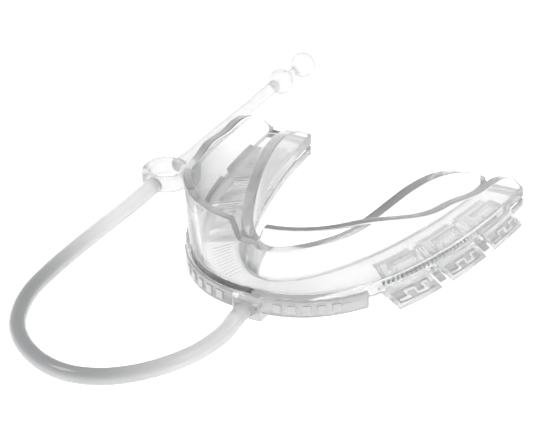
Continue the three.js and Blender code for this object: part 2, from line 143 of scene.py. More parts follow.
class GuardFinish(bpy.types.PropertyGroup):
    """Colours and clarity of the plastics, and the colours of their painted shade and painted light."""

    tray_colour: bpy.props.FloatVectorProperty(
        name="Tray", description="Colour of the soft fitting plastic", subtype="COLOR", size=3, min=0, max=1,
        default=(0.995, 0.995, 0.995))
    frame_colour: bpy.props.FloatVectorProperty(
        name="Frame", description="Colour of the firm frame", subtype="COLOR", size=3, min=0, max=1,
        default=(0.985, 0.985, 0.985))
    pad_colour: bpy.props.FloatVectorProperty(
        name="Pads", description="Colour of the bite pads", subtype="COLOR", size=3, min=0, max=1,
        default=(0.985, 0.985, 0.985))
    strap_colour: bpy.props.FloatVectorProperty(
        name="Strap", description="Colour of the strap", subtype="COLOR", size=3, min=0, max=1,
        default=(0.93, 0.93, 0.93))
    # Painted shade: the grey painted on rims, the bumper, recesses and walls seen along their length.
    painted_shade_colour: bpy.props.FloatVectorProperty(
        name="Shade", description="Colour of the plastic where it is thickest", subtype="COLOR", size=3, min=0,
        max=1, default=(0.42, 0.425, 0.43))
    # Painted light: the raised bars are painted pale and milky so that they look lit against the painted shade of
    # the bumper.
    bar_painted_light_colour: bpy.props.FloatVectorProperty(
        name="Bars", description="Colour of the raised bars of the bumper", subtype="COLOR", size=3, min=0, max=1,
        default=(0.78, 0.78, 0.785))
    # Painted shade of the cord: the grey painted on top of its bend.
    cord_painted_shade: bpy.props.FloatVectorProperty(
        name="Cord shade", description="Colour of the cord in its bend", subtype="COLOR", size=3, min=0, max=1,
        default=(0.4, 0.405, 0.41))


# ---- Arch lines ----

CURVE_SAMPLES = 601


class ArchLine:
    """A Lame curve with its front at (0, front), run back to the end of the arms.
    A share is -1 at the end of the left arm, 0 at the front and 1 at the end of the right arm."""

    def __init__(self, half_width, depth, run_out, front, power):
        full = depth + run_out - front
        cut = run_out / full
        turn = np.linspace(0, math.pi / 2, CURVE_SAMPLES)
        reach = np.sin(turn) ** (2 / power)
        rise = np.cos(turn).clip(0) ** (2 / power)
        widest = (1 - cut ** power) ** (1 / power)
        self.x = half_width * np.where(rise < cut, widest, reach)
        self.y = front + full * (1 - np.maximum(rise, cut))
        self.half_width, self.front, self.full, self.power = half_width, front, full, power
        steps = np.hypot(np.diff(self.x), np.diff(self.y))
        self.lengths = np.concatenate([[0], np.cumsum(steps)])
        self.arm_length = float(self.lengths[-1])

    def at(self, share):
        distance = np.abs(share).clip(0, 1) * self.arm_length
        x = np.interp(distance, self.lengths, self.x)
        return np.stack([np.where(share < 0, -x, x), np.interp(distance, self.lengths, self.y)], -1)

    def outside(self, place):
        """How far a place lies outside the line, to first order."""
        across = abs(place.x) / self.half_width
        along = max(self.front + self.full - (place.y - ARCH_FRONT), 0) / self.full
        slope = self.power * math.hypot(
            across ** (self.power - 1) / self.half_width, along ** (self.power - 1) / self.full)
        return (across ** self.power + along ** self.power - 1) / slope

    def point(self, share, inwards, height):
        """The point moved inwards, towards the palate, at that height above the surface."""
        share, inwards, height = np.broadcast_arrays(
            np.asarray(share, float), np.asarray(inwards, float), np.asarray(height, float))
        reach = 0.01
        along = self.at((share + reach).clip(-1, 1)) - self.at((share - reach).clip(-1, 1))
        along = along / np.linalg.norm(along, axis=-1, keepdims=True)
        place = self.at(share)
        return np.stack([
            place[..., 0] - along[..., 1] * inwards,
            ARCH_FRONT + place[..., 1] + along[..., 0] * inwards,
            height,
        ], -1)


class Layout:
    """The arch lines and heights that every piece of the guard is placed by."""

    def __init__(self, sizes):
        self.outer = ArchLine(ARCH_HALF_WIDTH, ARCH_DEPTH, sizes.run_out, 0, sizes.arch_power)
        self.inner = ArchLine(
            ARCH_HALF_WIDTH - sizes.flange - sizes.channel_molar, ARCH_DEPTH, sizes.run_out,
            sizes.flange + sizes.channel_front, sizes.channel_power)
        self.frame_bottom = PLATE_BOTTOM
        self.floor_bottom = TRAY_LOW.z
        self.frame_top = self.floor_bottom - sizes.fit_gap
        self.floor_top = self.floor_bottom + sizes.floor
        self.pad_top = self.frame_bottom - sizes.fit_gap
        self.arm = self.outer.arm_length


def height_profile(distance, stops, end_place, end_height, fall_power):
    """Heights that run smoothly from stop to stop, then fall faster and faster to the end of the arm."""
    distance = np.abs(distance)
    height = np.full_like(distance, stops[0][1])
    for (place, low), (next_place, high) in zip(stops, stops[1:]):
        mix = ((distance - place) / (next_place - place)).clip(0, 1)
        height = height + (high - low) * mix * mix * (3 - 2 * mix)
    last_place, last_height = stops[-1]
    fall = ((distance - last_place) / (end_place - last_place)).clip(0, 1)
    return height + (end_height - last_height) * fall ** fall_power


# ---- Mesh work ----

SHARP_ANGLE = math.radians(38)


def smooth_shade(bm):
    for face in bm.faces:
        face.smooth = True
    for edge in bm.edges:
        edge.smooth = edge.calc_face_angle(0) < SHARP_ANGLE


SHADE = "shade"


def object_from(bm, name):
    """Turns the bmesh into an object that sits at the origin."""
    bmesh.ops.recalc_face_normals(bm, faces=bm.faces)
    smooth_shade(bm)
    mesh = bpy.data.meshes.new(name)
    bm.to_mesh(mesh)
    bm.free()
    piece = bpy.data.objects.new(name, mesh)
    bpy.context.scene.collection.objects.link(piece)
    return piece


def rounded_rings(corners, arc_steps=3):
    """Rings through the corners, each an array of points along the piece with a radius at that corner.
    A third value, where there is one, is how shaded the plastic looks there, from 0 to 1."""
    columns = []
    for k, (place, radius, *shade) in enumerate(corners):
        shade = np.broadcast_to(np.asarray(shade[0] if shade else 0.0, float)[..., None], (*place.shape[:-1], 1))
        if radius == 0:
            columns.append(np.concatenate([place, shade], -1))
            continue
        before = corners[k - 1][0] - place
        after = corners[(k + 1) % len(corners)][0] - place
        cut_before = np.minimum(radius / np.linalg.norm(before, axis=-1, keepdims=True), 0.45)
        cut_after = np.minimum(radius / np.linalg.norm(after, axis=-1, keepdims=True), 0.45)
        start = place + before * cut_before
        end = place + after * cut_after
        for step in range(arc_steps + 1):
            t = step / arc_steps
            bend = (1 - t) ** 2 * start + 2 * t * (1 - t) * place + t * t * end
            columns.append(np.concatenate([bend, shade], -1))
    return np.stack(columns, axis=1)


def loft(rings, into=None, end_bevel=0):
    """A closed body through rings of points, made by bending a grid round them and filling its two ends."""
    bm = bmesh.new()
    layer = bm.verts.layers.float.new(SHADE)
    stations, around = rings.shape[:2]
    bmesh.ops.create_grid(bm, x_segments=around, y_segments=stations - 1, size=0.5)
    for vert in bm.verts:
        i = round((vert.co.y + 0.5) * (stations - 1))
        j = round((vert.co.x + 0.5) * around) % around
        *place, shade = rings[i, j]
        vert.co = Vector(place)
        vert[layer] = shade
    bmesh.ops.remove_doubles(bm, verts=bm.verts, dist=1e-7)
    rims = [edge for edge in bm.edges if edge.is_boundary]
    bmesh.ops.holes_fill(bm, edges=rims, sides=0)
    if end_bevel:
        bmesh.ops.bevel(
            bm, geom=rims, offset=end_bevel, offset_type="OFFSET", affect="EDGES", segments=2, profile=0.5,
            material=-1, clamp_overlap=True)
    bmesh.ops.recalc_face_normals(bm, faces=bm.faces)
    if into is None:
        return bm
    mesh = bpy.data.meshes.new("part")
    bm.to_mesh(mesh)
    bm.free()
    into.from_mesh(mesh)
    bpy.data.meshes.remove(mesh)
    return into


def combined(base, *steps):
    """The base bmesh with each (operation, bmesh) step cut into or joined to it, as a new bmesh."""
    helpers = [object_from(base, "base")]
    for operation, bm in steps:
        helper = object_from(bm, "step")
        modifier = helpers[0].modifiers.new(operation, "BOOLEAN")
        modifier.operation = operation
        modifier.solver = "EXACT"
        modifier.object = helper
        helpers.append(helper)
    depsgraph = bpy.context.evaluated_depsgraph_get()
    result = bmesh.new()
    result.from_mesh(helpers[0].evaluated_get(depsgraph).to_mesh())
    for helper in helpers:
        bpy.data.objects.remove(helper)
    return result


def stations_between(start, end, step, layout):
    """Shares from one distance along the arch to another, evenly spaced and no further apart than the step."""
    count = max(2, int(math.ceil(abs(end - start) / step)) + 1)
    return np.linspace(start, end, count) / layout.arm


def place_piece(piece, body, slot, material, *nodes):
    """Gives a finished piece its material, its body and the nodes that it stands for; its slot is not used."""
    piece.data.materials.clear()
    piece.data.materials.append(material)
    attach(piece, body)
    if nodes:
        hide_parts(*nodes)


# ---- Materials ----


def clear_plastic(
        name, colour, painted_shade_colour, clarity=0.9, ior=1.42, roughness=0.03, haze=0.05, bump=0.08, density=6,
        painted_light_glow=0.0, edge_power=4, edge_shade=0.8, upright_only=False):
    """Clear moulded plastic: faint cloudiness in its gloss, a slightly uneven skin, grey in its depth, and
    painted shade that makes it greyer and milkier where the shade attribute says so and where a wall is seen
    along its length."""
    material = bpy.data.materials.new(name)
    material.use_nodes = True
    nodes = material.node_tree.nodes
    links = material.node_tree.links
    nodes.clear()

    def maths(operation, first, second):
        node = nodes.new("ShaderNodeMath")
        node.operation = operation
        for socket, value in zip(node.inputs, (first, second)):
            if isinstance(value, bpy.types.NodeSocket):
                links.new(value, socket)
            else:
                socket.default_value = value
        return node

    output = nodes.new("ShaderNodeOutputMaterial")
    plastic = nodes.new("ShaderNodeBsdfPrincipled")
    plastic.inputs["IOR"].default_value = ior
    # Painted light: a faint white glow, standing for light scattered inside the plastic.
    plastic.inputs["Emission Color"].default_value = (1, 1, 1, 1)
    plastic.inputs["Emission Strength"].default_value = painted_light_glow
    links.new(plastic.outputs["BSDF"], output.inputs["Surface"])

    coordinates = nodes.new("ShaderNodeTexCoord")
    cloud = nodes.new("ShaderNodeTexNoise")
    cloud.inputs["Scale"].default_value = 90
    cloud.inputs["Detail"].default_value = 4
    links.new(coordinates.outputs["Object"], cloud.inputs["Vector"])
    gloss = nodes.new("ShaderNodeMapRange")
    gloss.inputs["From Min"].default_value = 0.35
    gloss.inputs["From Max"].default_value = 0.75
    gloss.inputs["To Min"].default_value = roughness
    gloss.inputs["To Max"].default_value = roughness + haze
    links.new(cloud.outputs["Fac"], gloss.inputs["Value"])
    links.new(gloss.outputs["Result"], plastic.inputs["Roughness"])

    # Painted shade: the shade attribute, and a grey where a wall is seen along its length, darken the base colour
    # and lower the clarity.
    shade = nodes.new("ShaderNodeAttribute")
    shade.attribute_name = SHADE
    facing = nodes.new("ShaderNodeLayerWeight")
    facing.inputs["Blend"].default_value = 0.5
    edge = maths("POWER", facing.outputs["Facing"], edge_power)
    edge = maths("MULTIPLY", edge.outputs["Value"], edge_shade)
    if upright_only:
        geometry = nodes.new("ShaderNodeNewGeometry")
        normal = nodes.new("ShaderNodeSeparateXYZ")
        links.new(geometry.outputs["Normal"], normal.inputs["Vector"])
        flat = maths("ABSOLUTE", normal.outputs["Z"], 0)
        upright = maths("SUBTRACT", 1, flat.outputs["Value"])
        edge = maths("MULTIPLY", edge.outputs["Value"], upright.outputs["Value"])
    painted_shade_amount = maths("MAXIMUM", shade.outputs["Fac"], edge.outputs["Value"])
    painted_shade_amount.name = "Painted Shade"
    painted_shade_amount.use_clamp = True
    tone = nodes.new("ShaderNodeMix")
    tone.data_type = "RGBA"
    links.new(painted_shade_amount.outputs["Value"], tone.inputs["Factor"])
    tone.inputs["A"].default_value = (*colour, 1)
    tone.inputs["B"].default_value = (*painted_shade_colour, 1)
    links.new(tone.outputs["Result"], plastic.inputs["Base Color"])
    painted_shade_clarity = nodes.new("ShaderNodeMapRange")
    painted_shade_clarity.inputs["To Min"].default_value = clarity
    painted_shade_clarity.inputs["To Max"].default_value = clarity * 0.45
    links.new(painted_shade_amount.outputs["Value"], painted_shade_clarity.inputs["Value"])
    links.new(painted_shade_clarity.outputs["Result"], plastic.inputs["Transmission Weight"])

    skin = nodes.new("ShaderNodeTexNoise")
    skin.inputs["Scale"].default_value = 260
    skin.inputs["Detail"].default_value = 2
    links.new(coordinates.outputs["Object"], skin.inputs["Vector"])
    relief = nodes.new("ShaderNodeBump")
    relief.inputs["Strength"].default_value = bump
    relief.inputs["Distance"].default_value = 0.1 * MM
    links.new(skin.outputs["Fac"], relief.inputs["Height"])
    links.new(relief.outputs["Normal"], plastic.inputs["Normal"])

    depth = nodes.new("ShaderNodeVolumeAbsorption")
    depth.inputs["Color"].default_value = (0.55, 0.56, 0.57, 1)
    depth.inputs["Density"].default_value = density
    links.new(depth.outputs["Volume"], output.inputs["Volume"])
    return material


def tray_material(finish):
    return clear_plastic(
        "tray_clear", finish.tray_colour, finish.painted_shade_colour, clarity=0.96, ior=1.35, roughness=0.015, bump=0.05,
        density=30, edge_shade=2.4, upright_only=True)


# Painted light: pale, milky bars that look lit against the grey-painted bumper.
def bar_material(finish):
    return clear_plastic(
        "bar_painted_light", finish.bar_painted_light_colour, finish.painted_shade_colour, clarity=0.3, roughness=0.15, haze=0.1, edge_shade=0.2)


# The frame and the pads carry a faint painted glow.
def frame_material(finish):
    return clear_plastic(
        "frame_clear", finish.frame_colour, finish.painted_shade_colour, clarity=0.92, ior=1.3, density=8, painted_light_glow=0.04,
        edge_shade=0.6)


def pad_material(finish):
    return clear_plastic(
        "pad_clear", finish.pad_colour, finish.painted_shade_colour, ior=1.36, painted_light_glow=0.03)


def strap_material(finish):
    return clear_plastic(
        "strap_clear", finish.strap_colour, finish.painted_shade_colour, clarity=0.68, ior=1.22, density=15,
        edge_power=3, edge_shade=1.4)


def cord_material(finish):
    """The strap's plastic with painted shade: greyest on top of its bend, and clearer at both ends and along its
    underside.
    """
    material = clear_plastic(
        "cord_clear", finish.strap_colour, finish.cord_painted_shade, clarity=0.55, roughness=0.12, haze=0.08,
        density=15, edge_shade=0.5)
    nodes = material.node_tree.nodes
    links = material.node_tree.links
    place = nodes.new("ShaderNodeSeparateXYZ")
    links.new(nodes["Texture Coordinate"].outputs["Object"], place.inputs["Vector"])
    geometry = nodes.new("ShaderNodeNewGeometry")
    normal = nodes.new("ShaderNodeSeparateXYZ")
    links.new(geometry.outputs["Normal"], normal.inputs["Vector"])
    # Painted shade: grey towards the front of the bend and its left side and on the upward-facing top of the
    # cord, with its underside left clearer.
    shade = None
    for source, clear, grey, least in (
        (place.outputs["Y"], ARCH_FRONT + 24 * MM, ARCH_FRONT - 16 * MM, 0),
        (place.outputs["X"], 2 * MM, -16 * MM, 0.3),
        (normal.outputs["Z"], -0.35, 0.75, 0.25),
    ):
        fade = nodes.new("ShaderNodeMapRange")
        fade.interpolation_type = "SMOOTHSTEP"
        fade.inputs["From Min"].default_value = clear
        fade.inputs["From Max"].default_value = grey
        fade.inputs["To Min"].default_value = least
        links.new(source, fade.inputs["Value"])
        if shade is None:
            shade = fade.outputs["Result"]
            continue
        both = nodes.new("ShaderNodeMath")
        both.operation = "MULTIPLY"
        links.new(shade, both.inputs[0])
        links.new(fade.outputs["Result"], both.inputs[1])
        shade = both.outputs["Value"]
    links.new(shade, nodes["Painted Shade"].inputs[0])
    return material


# ---- Cords ----


def smooth_route(points):
    """A centripetal Catmull-Rom curve through the points, sampled evenly in each span."""
    points = [Vector(p) for p in points]
    points = [2 * points[0] - points[1], *points, 2 * points[-1] - points[-2]]
    samples = []
    for k in range(1, len(points) - 2):
        p = points[k - 1:k + 3]
        t = [0.0]
        for a, b in zip(p, p[1:]):
            t.append(t[-1] + math.sqrt((b - a).length))
        for step in range(CORD_SAMPLES_A_SPAN):
            now = t[1] + (t[2] - t[1]) * step / CORD_SAMPLES_A_SPAN
            a = [p[i].lerp(p[i + 1], (now - t[i]) / (t[i + 1] - t[i])) for i in range(3)]
            b = [a[i].lerp(a[i + 1], (now - t[i]) / (t[i + 2] - t[i])) for i in range(2)]
            samples.append(b[0].lerp(b[1], (now - t[1]) / (t[2] - t[1])))
    samples.append(points[-2])
    return samples


def cord_curve(name, route, diameter):
    """A round cord along a smooth curve, and its length."""
    line = smooth_route(route)
    curve = bpy.data.curves.new(name, "CURVE")
    curve.dimensions = "3D"
    curve.bevel_depth = diameter / 2
    curve.bevel_resolution = 10
    curve.use_fill_caps = True
    spline = curve.splines.new("POLY")
    spline.points.add(len(line) - 1)
    for point, place in zip(spline.points, line):
        point.co = (*place, 1)
    spline.use_smooth = True
    piece = bpy.data.objects.new(name, curve)
    bpy.context.scene.collection.objects.link(piece)
    return piece, sum((b - a).length for a, b in zip(line, line[1:]))


def middle(low, high):
    return (low + high) / 2


def on_axis(route, diameter):
    return [(x, y + ARCH_FRONT, lift + diameter / 2) for x, y, lift in route]


class MOUTHGUARD_OT_stage(bpy.types.Operator):
    """Makes the camera, the pale floor and the soft studio light"""

    bl_idname = "mouthguard.stage"
    bl_label = "Stage"

    def execute(self, context):
        make_camera(context.scene)
        make_floor()
        make_light(context.scene)
        return {"FINISHED"}


CAMERA_LENS = 247.16
CAMERA_PLACE = Vector((0.3013, -0.5649, 0.3647))
CAMERA_TARGET = Vector((-0.0066, -0.0066, 0.0094))
CAMERA_ROLL = math.radians(-0.78)
FLOOR_RADIUS = 3
FLOOR_DROP = 0.2 * MM


def make_camera(scene):
    camera_data = bpy.data.cameras.new("camera")
    camera_data.lens = CAMERA_LENS
    camera_data.sensor_width = 36
    camera_data.clip_start = 0.01
    camera_data.clip_end = 50
    camera = bpy.data.objects.new("camera", camera_data)
    scene.collection.objects.link(camera)
    roll = Matrix.Rotation(CAMERA_ROLL, 4, "Z")
    aim = (CAMERA_TARGET - CAMERA_PLACE).to_track_quat("-Z", "Y").to_matrix().to_4x4()
    camera.matrix_world = Matrix.Translation(CAMERA_PLACE) @ aim @ roll
    scene.camera = camera


def make_floor():
    bm = bmesh.new()
    bmesh.ops.create_circle(bm, cap_ends=True, segments=64, radius=FLOOR_RADIUS)
    bmesh.ops.translate(bm, verts=bm.verts, vec=(0, 0, -FLOOR_DROP))
    floor = object_from(bm, "floor")
    material = bpy.data.materials.new("floor_pale")
    material.use_nodes = True
    paint = material.node_tree.nodes["Principled BSDF"]
    paint.inputs["Base Color"].default_value = (0.7, 0.7, 0.7, 1)
    paint.inputs["Roughness"].default_value = 0.9
    paint.inputs["Specular IOR Level"].default_value = 0
    paint.inputs["Emission Color"].default_value = (1, 1, 1, 1)
    paint.inputs["Emission Strength"].default_value = 0.85
    floor.data.materials.append(material)


def make_light(scene):
    world = bpy.data.worlds.new("studio")
    world.use_nodes = True
    nodes = world.node_tree.nodes
    links = world.node_tree.links
    background = nodes["Background"]
    coordinates = nodes.new("ShaderNodeTexCoord")
    split = nodes.new("ShaderNodeSeparateXYZ")
    ramp = nodes.new("ShaderNodeValToRGB")
    links.new(coordinates.outputs["Generated"], split.inputs["Vector"])
    links.new(split.outputs["Z"], ramp.inputs["Fac"])
    links.new(ramp.outputs["Color"], background.inputs["Color"])
    ramp.color_ramp.elements[0].position = 0.0
    ramp.color_ramp.elements[0].color = (0.95, 0.95, 0.95, 1)
    ramp.color_ramp.elements[1].position = 0.55
    ramp.color_ramp.elements[1].color = (0.5, 0.5, 0.5, 1)
    background.inputs["Strength"].default_value = 1.0
    scene.world = world
    scene.view_settings.view_transform = "Standard"
    for name, place, size, power in (
        ("key", (-0.6, -0.5, 1.0), 0.5, 5),
        ("fill", (0.9, 0.4, 0.9), 0.6, 4),
    ):
        lamp_data = bpy.data.lights.new(name, "AREA")
        lamp_data.size = size
        lamp_data.energy = power
        lamp = bpy.data.objects.new(name, lamp_data)
        lamp.location = place
        lamp.rotation_euler = (-Vector(place)).to_track_quat("-Z", "Y").to_euler()
        scene.collection.objects.link(lamp)


class MOUTHGUARD_OT_strap(bpy.types.Operator):
    """Makes the strap: its plug, cord, ring, tail and stop balls"""

    bl_idname = "mouthguard.strap"
    bl_label = "Strap"

    def execute(self, context):
        plastic = strap_material(context.scene.guard_finish)
        plug = make_plug()
        place_piece(plug, "strap", "strap", plastic, "tether_anchor")
        ring = make_ring()
        place_piece(ring, "strap", "strap", plastic, "tether_ring")
        balls = make_balls()
        place_piece(balls, "strap", "strap", plastic, "stop_ball_inner", "stop_ball_neck", "stop_ball_outer")

        ring_middle = middle(RING_LOW, RING_HIGH)
        plug_height = middle(PLUG_LOW, PLUG_HIGH).z
        start = Vector((0, PLUG_LOW.y, plug_height))
        lead = start - Vector((0, CORD_LEAD, 0))
        ring_end = Vector((ring_middle.x, RING_LOW.y + RING_OVERLAP, ring_middle.z))
        cord, length = cord_curve(
            "strap_cord", [start, lead, *on_axis(CORD_ROUTE, CORD_DIAMETER), ring_end], CORD_DIAMETER)
        place_piece(cord, "strap", "strap", cord_material(context.scene.guard_finish), "tether_cord")

        tail_start = Vector((ring_middle.x, RING_HIGH.y - RING_OVERLAP, ring_middle.z))
        ball = middle(INNER_BALL_LOW, INNER_BALL_HIGH)
        outer_ball = middle(OUTER_BALL_LOW, OUTER_BALL_HIGH)
        tail_end = ball - (outer_ball - ball).normalized() * TAIL_END_INSET
        tail, tail_length = cord_curve(
            "strap_tail", [tail_start, *on_axis(TAIL_ROUTE, TAIL_DIAMETER), tail_end], TAIL_DIAMETER)
        place_piece(tail, "strap", "strap", plastic, "tether_tail")
        return {"FINISHED"}


PLUG_NECK_LENGTH = 0.9 * MM
PLUG_WIDTH = 4.4 * MM
PLUG_HEIGHT = 1.2 * MM
PLUG_EDGE = 0.35 * MM
RING_WALL = 1.75 * MM
RING_PROFILE_STEPS = 28
BALL_STEPS = 18
BALL_NECK_RADIUS = 1.0 * MM


def make_plug():
    """A round neck with a flat, rounded tip that goes into the socket."""
    low, high = PLUG_LOW, PLUG_HIGH
    bm = bmesh.new()
    centre = middle(low, high)
    bmesh.ops.create_cube(bm, size=1)
    depth = high.y - low.y - PLUG_NECK_LENGTH / 2
    bmesh.ops.scale(bm, verts=bm.verts, vec=(PLUG_WIDTH, depth, PLUG_HEIGHT))
    bmesh.ops.translate(bm, verts=bm.verts, vec=(0, high.y - depth / 2, centre.z))
    bmesh.ops.bevel(
        bm, geom=bm.edges[:], offset=PLUG_EDGE, offset_type="OFFSET", affect="EDGES", segments=3, profile=0.5,
        material=-1)
    made = bmesh.ops.create_cone(
        bm, cap_ends=True, segments=40, radius1=CORD_DIAMETER / 2, radius2=CORD_DIAMETER / 2,
        depth=PLUG_NECK_LENGTH)
    verts = made["verts"]
    bmesh.ops.rotate(bm, verts=verts, cent=(0, 0, 0), matrix=Matrix.Rotation(math.pi / 2, 3, "X"))
    bmesh.ops.translate(bm, verts=verts, vec=(0, low.y + PLUG_NECK_LENGTH / 2, centre.z))
    return object_from(bm, "strap_plug")


def spun(profile, steps=64):
    """A closed or axis-to-axis profile of (radius, height) points turned round Z."""
    bm = bmesh.new()
    verts = [bm.verts.new((radius, 0, height)) for radius, height in profile]
    edges = [bm.edges.new(pair) for pair in zip(verts, verts[1:])]
    if profile[0][0] > 0:
        edges.append(bm.edges.new((verts[-1], verts[0])))
    bmesh.ops.spin(
        bm, geom=verts + edges, cent=(0, 0, 0), axis=(0, 0, 1), angle=2 * math.pi, steps=steps, use_merge=True)
    bmesh.ops.remove_doubles(bm, verts=bm.verts, dist=1e-7)
    return bm


def make_ring():
    """A plain ring with soft edges that the stop balls are pushed through."""
    outer = (RING_HIGH.x - RING_LOW.x) / 2
    inner = outer - RING_WALL
    height = RING_HIGH.z - RING_LOW.z
    middle_radius = (outer + inner) / 2
    half_width = (outer - inner) / 2
    profile = []
    for step in range(RING_PROFILE_STEPS):
        turn = 2 * math.pi * step / RING_PROFILE_STEPS
        across = math.copysign(abs(math.cos(turn)) ** 0.75, math.cos(turn))
        up = math.copysign(abs(math.sin(turn)) ** 0.6, math.sin(turn))
        profile.append((middle_radius + half_width * across, height / 2 * up))
    bm = spun(profile, 72)
    bmesh.ops.translate(bm, verts=bm.verts, vec=middle(RING_LOW, RING_HIGH))
    return object_from(bm, "strap_ring")


def make_balls():
    """Two stop balls on a short neck, moulded in one."""
    inner = middle(INNER_BALL_LOW, INNER_BALL_HIGH)
    outer = middle(OUTER_BALL_LOW, OUTER_BALL_HIGH)
    radius = (INNER_BALL_HIGH.z - INNER_BALL_LOW.z) / 2
    pitch = (outer - inner).length
    neck_turn = math.asin(BALL_NECK_RADIUS / radius)
    profile = []
    for step in range(BALL_STEPS + 1):
        turn = math.pi - (math.pi - neck_turn) * step / BALL_STEPS
        profile.append((max(radius * math.sin(turn), 0) if step else 0, radius * math.cos(turn)))
    profile.append((BALL_NECK_RADIUS * 0.9, pitch / 2))
    for step in range(BALL_STEPS + 1):
        turn = math.pi - neck_turn - (math.pi - neck_turn) * step / BALL_STEPS
        last = step == BALL_STEPS
        profile.append((0 if last else radius * math.sin(turn), pitch + radius * math.cos(turn)))
    bm = spun(profile, 56)
    turn = Vector((0, 0, 1)).rotation_difference(outer - inner).to_matrix()
    bmesh.ops.rotate(bm, verts=bm.verts, cent=(0, 0, 0), matrix=turn)
    bmesh.ops.translate(bm, verts=bm.verts, vec=inner)
    return object_from(bm, "stop_balls")


# ---- Tray ----


class MOUTHGUARD_OT_tray(bpy.types.Operator):
    """Makes the soft fitting tray with its channel and grip ribs"""

    bl_idname = "mouthguard.tray"
    bl_label = "Fitting tray"

    def execute(self, context):
        sizes = context.scene.guard_sizes
        tray = make_tray(sizes, Layout(sizes))
        place_piece(tray, "guard", "tray", tray_material(context.scene.guard_finish), "fitting_tray")
        return {"FINISHED"}


# Painted shade on the tray, through the shade attribute: its rims, inner foot, the fold lines of the channel and
# the ends of the arms.
RIM_SHADE = 0.42
FOOT_SHADE = 0.2
FOLD_SHADE = 0.25
END_SHADE = 0.9
END_BAND = 0.3 * MM
FLANGE_STOPS = [
    (0, 17.4 * MM), (1.6 * MM, 17.4 * MM), (3.8 * MM, 21.6 * MM), (20 * MM, 21.6 * MM), (43 * MM, 17.1 * MM),
    (57 * MM, 14.9 * MM),
]
FLANGE_END_HEIGHT = 7 * MM
FLANGE_FALL_POWER = 2.4
INNER_STOPS = [(0, 12.4 * MM), (20 * MM, 12.4 * MM), (46 * MM, 15.3 * MM)]
INNER_END_HEIGHT = 7.5 * MM
INNER_FALL_POWER = 2
RIM_BAND = 0.45 * MM
RIBBED_STRETCHES = ((6 * MM, 19.5 * MM), (27 * MM, 66 * MM))


def make_tray(sizes, layout):
    share = stations_between(-layout.arm, layout.arm, 0.22 * MM, layout)
    distance = share * layout.arm
    crest = height_profile(distance, FLANGE_STOPS, layout.arm, FLANGE_END_HEIGHT, FLANGE_FALL_POWER)
    inner_crest = height_profile(distance, INNER_STOPS, layout.arm, INNER_END_HEIGHT, INNER_FALL_POWER)
    low = layout.floor_bottom
    top = layout.floor_top
    outer, inner = layout.outer, layout.inner
    floor_a = outer.point(share, sizes.flange, top)
    floor_b = inner.point(share, 0, top)

    def flare(height):
        return -sizes.flare * (height - top)

    def lean(height):
        return sizes.inner_lean * (height - top)

    def across(mix, lift=0):
        points = floor_a + (floor_b - floor_a) * mix
        points[:, 2] += lift
        return points

    phase = (np.abs(distance) / sizes.rib_pitch) % 1
    rib = np.clip((0.25 - np.abs(phase - 0.5)) / 0.12, 0, 1) * sizes.rib_height
    reach = np.abs(distance)
    rib = rib * np.any([(reach > start) & (reach < end) for start, end in RIBBED_STRETCHES], axis=0)
    edge = sizes.edge_round
    rim = RIM_BAND
    rings = rounded_rings([
        (outer.point(share, 0, low), edge),
        (outer.point(share, flare(low + 2 * rim), low + 2 * rim), 0),
        (outer.point(share, flare(crest - rim), crest - rim), 0),
        (outer.point(share, flare(crest), crest), edge, RIM_SHADE),
        (outer.point(share, sizes.flange + flare(crest), crest), edge, RIM_SHADE),
        (outer.point(share, sizes.flange + flare(crest - rim), crest - rim), 0),
        (outer.point(share, sizes.flange + flare(top + 2 * rim), top + 2 * rim), 0),
        (across(0), 2 * edge, FOLD_SHADE),
        (across(0.15), 0),
        (across(0.2), 0),
        (across(0.3, rib), 0),
        (across(0.7, rib), 0),
        (across(0.8), 0),
        (across(0.85), 0),
        (across(1), 2 * edge, FOLD_SHADE),
        (inner.point(share, lean(top + 2 * rim), top + 2 * rim), 0),
        (inner.point(share, lean(inner_crest - rim), inner_crest - rim), 0),
        (inner.point(share, lean(inner_crest), inner_crest), edge, RIM_SHADE),
        (inner.point(share, sizes.inner_wall + lean(inner_crest), inner_crest), edge, RIM_SHADE),
        (inner.point(share, sizes.inner_wall + lean(inner_crest - rim), inner_crest - rim), 0),
        (inner.point(share, sizes.inner_wall, low + 2 * rim), 0),
        (inner.point(share, sizes.inner_wall, low), edge, FOOT_SHADE),
    ])
    # Painted shade on the end faces of the arms.
    end_shade = END_SHADE * (reach > layout.arm - END_BAND)
    rings[..., 3] = np.maximum(rings[..., 3], end_shade[:, None])
    return object_from(loft(rings), "tray")


# ---- Frame ----


class MOUTHGUARD_OT_frame(bpy.types.Operator):
    """Makes the firm U-shaped frame with its bumper, raised bars, socket and pad windows"""

    bl_idname = "mouthguard.frame"
    bl_label = "Base frame"

    def execute(self, context):
        sizes = context.scene.guard_sizes
        base = make_frame(sizes, Layout(sizes))
        place_piece(base, "guard", "frame", frame_material(context.scene.guard_finish), "base_frame")
        bars = make_bars(Layout(sizes))
        place_piece(bars, "guard", "frame", bar_material(context.scene.guard_finish))
        return {"FINISHED"}


PAD_START = 25.4 * MM
PAD_GAP = 3 * MM
PAD_SLANT = 4.9 * MM
PAD_REAR_MARGIN = 2.3 * MM
PAD_BAND_TOP = 6.1 * MM
BUMPER_END_GAP = 2.2 * MM
BUMPER_OUTSIDE = 1.0 * MM
BUMPER_TOP = 6.3 * MM
